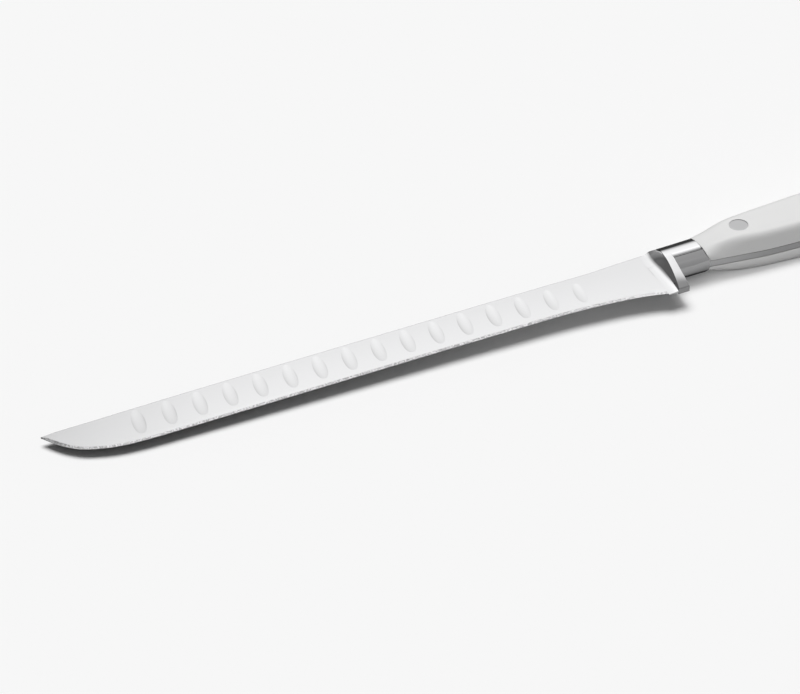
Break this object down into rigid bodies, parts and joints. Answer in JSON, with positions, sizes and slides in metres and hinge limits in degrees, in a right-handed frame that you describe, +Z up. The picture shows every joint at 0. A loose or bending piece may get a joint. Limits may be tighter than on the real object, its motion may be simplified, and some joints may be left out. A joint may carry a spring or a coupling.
{
  "type": "ham slicing knife",
  "caption": "Long narrow ham slicing knife with a hollow-ground forged blade, finger guard, bolster and full tang, and white moulded handle scales fixed by flush rivets.",
  "frame": {"origin": "on the flat side of the lower scale, which the knife lies on, between the front and middle rivets and midway across the neck's line", "axes": "+X along the knife from the tip to the butt, +Y to the spine, -Y to the cutting edge, +Z up; the knife lies on its side as pictured, so the tip is carried about 3 mm clear of the surface"},
  "size_m": [0.3833, 0.0296, 0.02],
  "materials": {
    "forged_steel": "fine satin on the blade, polished on the guard and bolster",
    "white_scale": "smooth satin, moulded",
    "rivet_metal": "ground flush and buffed"
  },
  "bodies": {
    "root": {"blade_bolster_tang": "forged_steel", "upper_scale": "white_scale", "lower_scale": "white_scale", "front_rivet_socket": "rivet_metal", "front_rivet_stud": "rivet_metal", "middle_rivet_socket": "rivet_metal", "middle_rivet_stud": "rivet_metal", "rear_rivet_socket": "rivet_metal", "rear_rivet_stud": "rivet_metal"}
  },
  "joints": []
}
